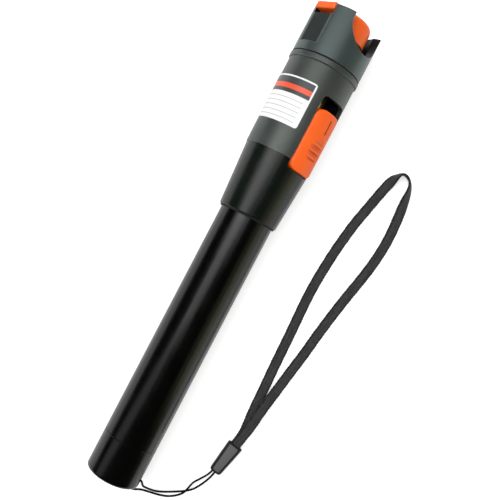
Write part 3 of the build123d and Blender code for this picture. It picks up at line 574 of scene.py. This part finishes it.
class FAULT_OT_inner(bpy.types.Operator):
    """Finishes the parts inside: cells, contacts, spring, circuit board, switch, laser module and port."""

    bl_idname = "fault.inner"
    bl_label = "Finish the inner parts"

    def execute(self, context):
        steel = shell("spring_steel", (0.60, 0.59, 0.57), 0.24, metallic=1.0, grain=5.0, depth=2e-6, rings=3.0)
        brass = shell("machined_brass", (0.72, 0.50, 0.22), 0.26, metallic=1.0, grain=4.0, depth=3e-6, rings=6.0,
                      edge_highlight=(0.90, 0.72, 0.42))
        plated = shell("plated_port_metal", (0.66, 0.65, 0.62), 0.24, metallic=1.0, grain=5.0, depth=3e-6, rings=6.0,
                       edge_highlight=(0.88, 0.87, 0.84))
        ceramic = shell("white_ceramic", (0.80, 0.79, 0.75), 0.16, coat=0.3, mottle=0.03, grain=6.0)
        plastic = shell("moulded_black", (0.016, 0.016, 0.017), 0.48, mottle=0.15, grain=7.0, depth=8e-6)
        white = shell("moulded_white", (0.72, 0.71, 0.68), 0.45, mottle=0.04, grain=7.0, depth=8e-6)
        glass = Finish("lens_glass", 0.03)
        glass.set("Base Color", (0.95, 0.97, 0.98, 1.0))
        glass.set("Transmission Weight", 1.0)
        glass.bump(glass.noise(glass.row(2.0), 1.0), 2e-7)
        board, jacket = self.board(), self.jacket()
        dress({
            "spring_seat": steel, "contact_spring": steel, "carrier_screws": steel, "laser_diode": brass,
            "hinge_pin": steel, "positive_contact": brass, "port_nut": brass, "laser_holder": brass,
            "port_barrel": plated, "ceramic_sleeve": ceramic, "contact_insulator": white, "slide_switch": plastic,
            "switch_lever": white, "slider_carrier": plastic, "driver_chip": plastic, "focusing_lens": glass,
            "circuit_board": board, "cell_rear": jacket, "cell_front": jacket,
        })
        return {"FINISHED"}

    def board(self):
        """Green mask over broken rows of tracks, with round pads of tin."""
        board = Finish("circuit_board_mask", 0.34, coat=0.3)
        spot = board.row()
        rows = board.maths("FRACT", board.times(board.split(spot)[1], 0.8))
        unbroken = board.inside(board.noise(spot, 0.5, 1.0), (0.42, 0.9), 0.02)
        tracks = board.times(board.inside(rows, (0.35, 0.55), 0.04), unbroken)
        pads = board.maths("LESS_THAN", board.node("ShaderNodeTexVoronoi", (spot, 0.55)), 0.22)
        laid = board.mix(tracks, (0.010, 0.070, 0.030), (0.018, 0.125, 0.050))
        board.set("Base Color", board.mix(pads, laid, (0.62, 0.60, 0.56)))
        board.set("Metallic", pads)
        board.bump(board.plus(tracks, pads), 2e-5)
        return board

    def jacket(self):
        """Dark film with a pale band on each cell, and the bare metal of the cells' ends."""
        jacket = shell("cell_jacket_film", CELL_FILM, 0.28, coat=0.35, mottle=0.10, grain=2.0, depth=2e-6)
        station = jacket.split(jacket.pen())[0]
        ends = jacket.stripes(station, CELL_ENDS, 0.05)
        film = jacket.mix(jacket.stripes(station, CELL_BANDS, 0.08), CELL_FILM, (0.46, 0.47, 0.48))
        jacket.set("Base Color", jacket.mix(ends, film, (0.62, 0.61, 0.59)))
        jacket.set("Metallic", ends)
        return jacket


class FAULT_OT_cord(bpy.types.Operator):
    """Makes the thin cord that runs from the clasp through the cap's bridged hole and back. Its surface is
    c + d / 2 (n cos t + b sin t), with the line c, its two unit normals n and b and the diameter d."""

    bl_idname = "fault.cord"
    bl_label = "Make the cord"

    def execute(self, context):
        thick = context.scene.strap_sizes.cord
        line, run = evenly(route([
            on_clasp(-6.0, -0.5, 1.6), on_clasp(-8.2, -0.7, 1.5), place(-82.1, -30.1, 1.0), place(-85.5, -27.8, 0.6),
            place(-89.2, -21.5, 0.6), place(-91.1, -16.9, 1.3), place(-90.4, -13.4, 4.6), on_pen(0.9, 11.5, 97.0),
            on_pen(2.2, 10.9, 86.0), on_pen(3.5, 10.0, 82.0), on_pen(3.4, 6.3, 82.0), on_pen(-1.0, 6.3, 84.0),
            on_pen(-1.2, 9.0, 92.0), on_pen(-0.7, 10.9, 98.0), place(-91.2, -12.4, 5.6), place(-92.0, -15.8, 1.7),
            place(-91.7, -19.6, 0.6), place(-90.4, -22.7, 0.6), place(-87.6, -25.8, 1.2), place(-84.9, -26.6, 1.6),
            place(-82.1, -27.2, 1.5), place(-79.5, -29.1, 1.6), on_clasp(-7.9, 0.6, 1.6), on_clasp(-6.0, 0.5, 1.6),
        ]), 0.2 * MM)
        tangent = along(line)
        normal = carried(tangent, (0.0, 0.0, 1.0))
        binormal = np.cross(tangent, normal)
        turn = around(14)
        ring = normal[:, None] * np.cos(turn)[..., None] + binormal[:, None] * np.sin(turn)[..., None]
        grid = line[:, None] + ring * thick / 2
        mesh = skin("lanyard_braid", grid, (turn / (2 * pi), run[:, None] / MM))
        piece = show("lanyard_braid", mesh, "cap", self.braid().material)
        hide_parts("lanyard_cord")
        return {"FINISHED"}

    def braid(self):
        """Black yarn in two sets of strands, which wind round the cord both ways and cross."""
        finish = Finish("braided_black", 0.75, specular=0.12)
        u, v = finish.uv()
        round_it, length = finish.times(u, 6.0), finish.times(v, 2.2)
        one, two = (
            finish.maths("SINE", finish.times(finish.maths(way, length, round_it), pi)) for way in ("ADD", "SUBTRACT")
        )
        weave = finish.maths("ABSOLUTE", finish.times(one, two))
        finish.set("Base Color", finish.mix(weave, (0.002, 0.002, 0.002), (0.009, 0.009, 0.010)))
        finish.set("Roughness", finish.between(weave, 0.0, 1.0, 0.82, 0.62))
        finish.bump(weave, 0.06 * MM)
        return finish


class FAULT_OT_clasp(bpy.types.Operator):
    """Makes the strap's clasp: a tapered block with bevelled edges, a flat top face and an open mouth. Each section
    is a superellipse of order n, y = w q cos t and z = h q sin t with q = (|cos t|^n + |sin t|^n)^(-1 / n), of half
    width w and half height h, set on the surface and shifted and leaned aside."""

    bl_idname = "fault.clasp"
    bl_label = "Make the clasp"

    def execute(self, context):
        # Place along the clasp, half width and half height of each section, the last ones inside the mouth
        sections = np.array([
            (-6.25, 1.30, 1.00), (-6.15, 1.70, 1.20), (-5.85, 2.00, 1.42), (-5.4, 2.12, 1.58), (-4.8, 2.16, 1.68),
            (-3.2, 2.24, 1.70), (0.0, 2.46, 1.70), (4.6, 2.72, 1.70), (5.5, 2.76, 1.60), (5.85, 2.72, 1.44),
            (6.0, 2.62, 1.30), (6.0, 2.30, 1.12), (5.85, 2.22, 1.08), (5.0, 2.18, 1.05), (3.6, 2.14, 1.02),
        ])
        at, wide, high = (sections[:, k, None] for k in range(3))
        cosine, sine = np.cos(around(48)), np.sin(around(48))
        size = (np.abs(cosine) ** CLASP_ORDER + np.abs(sine) ** CLASP_ORDER) ** (-1 / CLASP_ORDER)
        height = CLASP_HALF + high * sine * size
        # The near side leans outwards towards its foot
        lean = CLASP_LEAN * np.clip(-cosine, 0.0, 1.0) * (1.0 - height / (2.0 * CLASP_HALF))
        aside = wide * cosine * size - CLASP_SHIFT - lean
        grid = (
            np.array(CLASP)
            + at[..., None] * MM * np.array(CLASP_ALONG)
            + aside[..., None] * MM * np.array(CLASP_ASIDE)
            + height[..., None] * MM * np.array((0.0, 0.0, 1.0))
        )
        plastic = self.plastic(context.scene.pen_colours.clasp)
        piece = show("clasp_body", skin("clasp_body", grid), "cap", plastic.material)
        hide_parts("strap_clasp")
        return {"FINISHED"}

    def plastic(self, colour):
        """Grey moulding, with its bevel and sides painted nearly black as painted shade, except on the top face and on
        a narrow band of the bevel that stays grey as a painted highlight.
        """
        finish = Finish("clasp_plastic", 0.45, specular=0.4)
        place_on = finish.row()
        fine = finish.noise(place_on, 6.0)
        base = finish.paint(colour, 0.06, finish.noise(place_on, 0.5, 3.0))
        # Painted shade and highlight by the way each face turns: grey on top and on a low band of the bevel, nearly
        # black elsewhere
        facing = finish.split(finish.node("ShaderNodeNewGeometry", output=1))[2]
        face = finish.maths("MAXIMUM", finish.between(facing, 0.93, 0.985), finish.inside(facing, (0.12, 0.36), 0.03))
        finish.set("Base Color", finish.mix(face, (0.006, 0.006, 0.006), base))
        finish.set("Roughness", finish.between(fine, 0.3, 0.7, 0.38, 0.52))
        finish.bump(fine, 8e-6)
        return finish


class FAULT_OT_webbing(bpy.types.Operator):
    """Makes the woven band of the hand loop, which lies flat on the surface and stands on edge at its far turn. Its
    section of width w and thickness d is x = w / 2 cos t min(q, 1.08) r and y = d / 2 sin t q, held within d / 2,
    with q = (|cos t|^2.6 + |sin t|^4)^-0.3 and with r = 1 + e |cos t|^6 for an uneven edge, e being a sum of sines
    along the band."""

    bl_idname = "fault.webbing"
    bl_label = "Make the webbing"

    def execute(self, context):
        sizes = context.scene.strap_sizes
        line, run = evenly(route([
            on_clasp(4.2, -0.3, 1.15), on_clasp(6.8, -0.3, 1.15), place(-58.0, -35.7, 0.9), place(-49.4, -34.9, 0.5),
            place(-41.0, -34.7, 0.5), place(-32.9, -34.3, 0.5), place(-25.0, -34.1, 0.5), place(-17.0, -33.9, 0.5),
            place(0.0, -33.2, 0.5), place(15.6, -34.4, 0.5), place(22.3, -35.3, 0.5), place(28.9, -36.3, 0.5),
            place(36.2, -38.0, 0.6), place(44.0, -39.7, 0.9), place(49.6, -41.2, 1.4), place(53.1, -42.9, 2.0),
            place(53.4, -45.0, 2.0), place(51.8, -47.3, 2.0), place(49.0, -48.4, 1.8), place(44.1, -48.9, 1.4),
            place(37.4, -49.7, 0.8), place(30.2, -50.1, 0.6), place(23.4, -49.8, 0.5), place(14.5, -48.6, 0.5),
            place(1.0, -45.6, 0.5), place(-14.0, -43.0, 0.5), place(-21.9, -42.0, 0.5), place(-31.0, -40.3, 0.9),
            place(-39.6, -38.8, 1.5), place(-47.4, -37.4, 1.7), place(-54.6, -36.6, 1.9), on_clasp(9.2, -0.4, 2.1),
            on_clasp(6.8, -0.4, 2.15), on_clasp(4.2, -0.4, 2.15),
        ]), 0.35 * MM)
        # Turn of the band about its own line: on edge at the far turn of the loop, slowly flat again after it
        turn_at = np.argmin(np.linalg.norm(line[:, :2] - np.array(FAR_TURN)[:2], axis=1))
        away = (run - run[turn_at]) / MM
        edge_on = np.clip(np.where(away < 0.0, 1.0 + away / TWIST_BEFORE, 1.0 - away / TWIST_AFTER), 0.0, 1.0)
        twist = TWIST * edge_on * edge_on * (3.0 - 2.0 * edge_on)
        # The band stays on the surface: a little more than half its width and thickness, for its uneven edge
        rest = (sizes.band * 0.55) * np.sin(twist) + (sizes.thickness * 0.52) * np.cos(twist)
        line[:, 2] = np.maximum(line[:, 2], rest)
        tangent = along(line)
        across = np.cross(tangent, (0.0, 0.0, 1.0))
        across = across / np.linalg.norm(across, axis=1)[:, None]
        lift = np.cross(across, tangent)
        flat = np.cos(twist)[:, None] * across + np.sin(twist)[:, None] * lift
        face = np.cos(twist)[:, None] * lift - np.sin(twist)[:, None] * across
        cosine, sine = np.cos(around(32)), np.sin(around(32))
        size = (np.abs(cosine) ** 2.6 + np.abs(sine) ** 4.0) ** -0.30
        uneven = sum(share * np.sin(run / (length * MM) * 2 * pi) for share, length in EDGE_WAVES)
        ripple = 1.0 + uneven[:, None] * np.abs(cosine) ** 6
        wide = sizes.band / 2 * cosine * np.minimum(size, 1.08) * ripple
        thick = sizes.thickness / 2 * np.clip(sine * size, -1.0, 1.0)
        grid = line[:, None] + flat[:, None] * wide[..., None] + face[:, None] * thick[..., None]
        mesh = skin("hand_loop", grid, ((cosine + 1.0) / 2.0, run[:, None] / MM), wrap=0.0)
        woven = self.weave(context.scene.pen_colours.webbing)
        piece = show("hand_loop", mesh, "cap", woven.material)
        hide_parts("strap_webbing")
        return {"FINISHED"}

    def weave(self, colour):
        """Woven yarn with edges painted darker as painted shade, lines along the band and pale dust. u runs across the
        band.
        """
        finish = Finish("woven_band", 0.78, specular=0.25, sheen=0.12)
        u, v = finish.uv()
        off_middle = finish.maths("ABSOLUTE", finish.maths("SUBTRACT", finish.times(u, 2.0), 1.0))
        picks = finish.maths("SINE", finish.times(v, 2 * pi / 0.62))
        warps = finish.maths("SINE", finish.times(u, 2 * pi * 7.0))
        weave = finish.between(finish.times(picks, warps), -1.0, 1.0)
        # Lines along the band, from threads that lie a little higher or lower
        lines = finish.node("ShaderNodeCombineXYZ", (finish.times(u, 9.0), finish.times(v, 0.12), 0.0))
        dust = finish.noise(finish.row(), 0.8, 4.0, 0.65)
        base = colour
        for share, mask in (
            # Painted shade: the band is painted darker towards its edges
            (0.10, finish.between(off_middle, 0.56, 0.74)),
            (0.25, finish.between(finish.noise(lines, 1.0), 0.42, 0.62, 0.0, 0.6)),
            (0.35, finish.times(weave, 0.55)),
            (1.5, finish.between(dust, 0.45, 0.75, 0.0, 0.45)),
        ):
            base = finish.mix(mask, base, scaled(colour, share))
        finish.set("Base Color", base)
        finish.set("Roughness", finish.between(weave, 0.0, 1.0, 0.72, 0.88))
        finish.bump(weave, 0.09 * MM)
        return finish


class FAULT_OT_stage(bpy.types.Operator):
    """Sets the pale floor, the soft studio light and the camera."""

    bl_idname = "fault.stage"
    bl_label = "Set the stage"

    def execute(self, context):
        light = context.scene.stage_light
        context.scene.view_settings.view_transform = "Standard"
        self.floor()
        self.world(light.fill)
        for name, one, other, width, power, colour, shine in LAMPS:
            self.strip(name, on_pen(*one), on_pen(*other), width, power * light.strip, colour, shine)
        self.camera()
        return {"FINISHED"}

    def floor(self):
        """A wide plate under the pen that takes its shadow. It glows a little, less in gloss than to the camera."""
        corners = [(x * FLOOR_REACH, y * FLOOR_REACH, 0.0) for x, y in ((-1, -1), (1, -1), (1, 1), (-1, 1))]
        mesh = bpy.data.meshes.new("floor")
        mesh.from_pydata(corners, [], [(0, 1, 2, 3)])
        floor = bpy.data.objects.new("floor", mesh)
        floor.location.z = -0.02 * MM
        bpy.context.scene.collection.objects.link(floor)
        finish = Finish("pale_floor", 0.9, specular=0.1)
        finish.set("Base Color", (0.82, 0.82, 0.82, 1.0))
        finish.set("Emission Color", (*WHITE, 1.0))
        seen, mirrored = finish.rays()
        finish.set("Emission Strength", finish.plus(finish.times(mirrored, 0.10), finish.times(seen, 0.50)))
        mesh.materials.append(finish.material)

    def world(self, fill):
        """Plain light from all round, white to the camera. In gloss it is dim, and dimmer overhead."""
        world = bpy.data.worlds.new("studio")
        world.use_nodes = True
        bpy.context.scene.world = world
        nodes = Nodes(world.node_tree)
        background = world.node_tree.nodes["Background"]
        background.inputs["Color"].default_value = (*WHITE, 1.0)
        seen, mirrored = nodes.rays()
        height = nodes.split(nodes.node("ShaderNodeTexCoord"))[2]
        unseen = nodes.blend(mirrored, fill, nodes.between(height, 0.0, 0.3, 0.012, 0.002))
        nodes.tree.links.new(nodes.blend(seen, unseen, 1.0), background.inputs["Strength"])

    def strip(self, name, one, other, width, power, colour, shine):
        """An area lamp of the given width from one point to another, turned to the middle of the pen. Without
        shine it lights the pen and doesn't show in its gloss."""
        lamp = bpy.data.lights.new(name, "AREA")
        lamp.shape = "RECTANGLE"
        lamp.size, lamp.size_y = (other - one).length, width
        lamp.energy = power
        lamp.color = colour
        holder = bpy.data.objects.new(name, lamp)
        holder.visible_glossy = shine
        bpy.context.scene.collection.objects.link(holder)
        spot = (one + other) / 2
        away = (spot - (TAIL + ALONG * PEN_MIDDLE)).normalized()
        first = (other - one).normalized()
        away = (away - first * first.dot(away)).normalized()
        second = away.cross(first)
        holder.matrix_world = Matrix.LocRotScale(spot, Matrix((first, second, away)).transposed(), None)

    def camera(self):
        """A camera above the pen, turned so that the pen points to the upper right as in the photograph."""
        foot = TAIL + ALONG * EYE_ALONG
        eye = foot + UP * EYE_UP
        aim = foot + ALONG * AIM_ALONG + SIDE * AIM_ASIDE
        ahead = (aim - eye).normalized()
        right = ALONG * RIGHT_ALONG + SIDE * RIGHT_ASIDE
        right = (right - ahead * right.dot(ahead)).normalized()
        above = right.cross(ahead)
        lens = bpy.data.cameras.new("camera")
        lens.sensor_width = SENSOR
        lens.lens = FOCAL_LENGTH
        lens.clip_start = 0.01
        holder = bpy.data.objects.new("camera", lens)
        bpy.context.scene.collection.objects.link(holder)
        holder.matrix_world = Matrix.LocRotScale(eye, Matrix((right, above, -ahead)).transposed(), None)
        bpy.context.scene.camera = holder


class FAULT_PT_panel(bpy.types.Panel):
    """Lists the steps in the order in which they are run."""

    bl_idname = "FAULT_PT_panel"
    bl_label = "Fault locator"
    bl_space_type = "VIEW_3D"
    bl_region_type = "UI"
    bl_category = "Fault locator"

    def draw(self, context):
        for operator in STEPS:
            self.layout.operator(operator.bl_idname)
        for group in (context.scene.pen_colours, context.scene.strap_sizes, context.scene.stage_light):
            for name in group.__annotations__:
                self.layout.prop(group, name)


STEPS = (FAULT_OT_shells, FAULT_OT_orange, FAULT_OT_label, FAULT_OT_inner, FAULT_OT_clasp, FAULT_OT_cord,
         FAULT_OT_webbing, FAULT_OT_stage)
GROUPS = {"pen_colours": PenColours, "strap_sizes": StrapSizes, "stage_light": StageLight}


def register():
    for kind in (*GROUPS.values(), *STEPS, FAULT_PT_panel):
        bpy.utils.register_class(kind)
    for name, kind in GROUPS.items():
        setattr(bpy.types.Scene, name, bpy.props.PointerProperty(type=kind))


def unregister():
    for name in GROUPS:
        delattr(bpy.types.Scene, name)
    for kind in reversed((*GROUPS.values(), *STEPS, FAULT_PT_panel)):
        bpy.utils.unregister_class(kind)


def main():
    register()
    for step in STEPS:
        group, name = step.bl_idname.split(".")
        getattr(getattr(bpy.ops, group), name)()


if __name__ == "__main__":
    main()
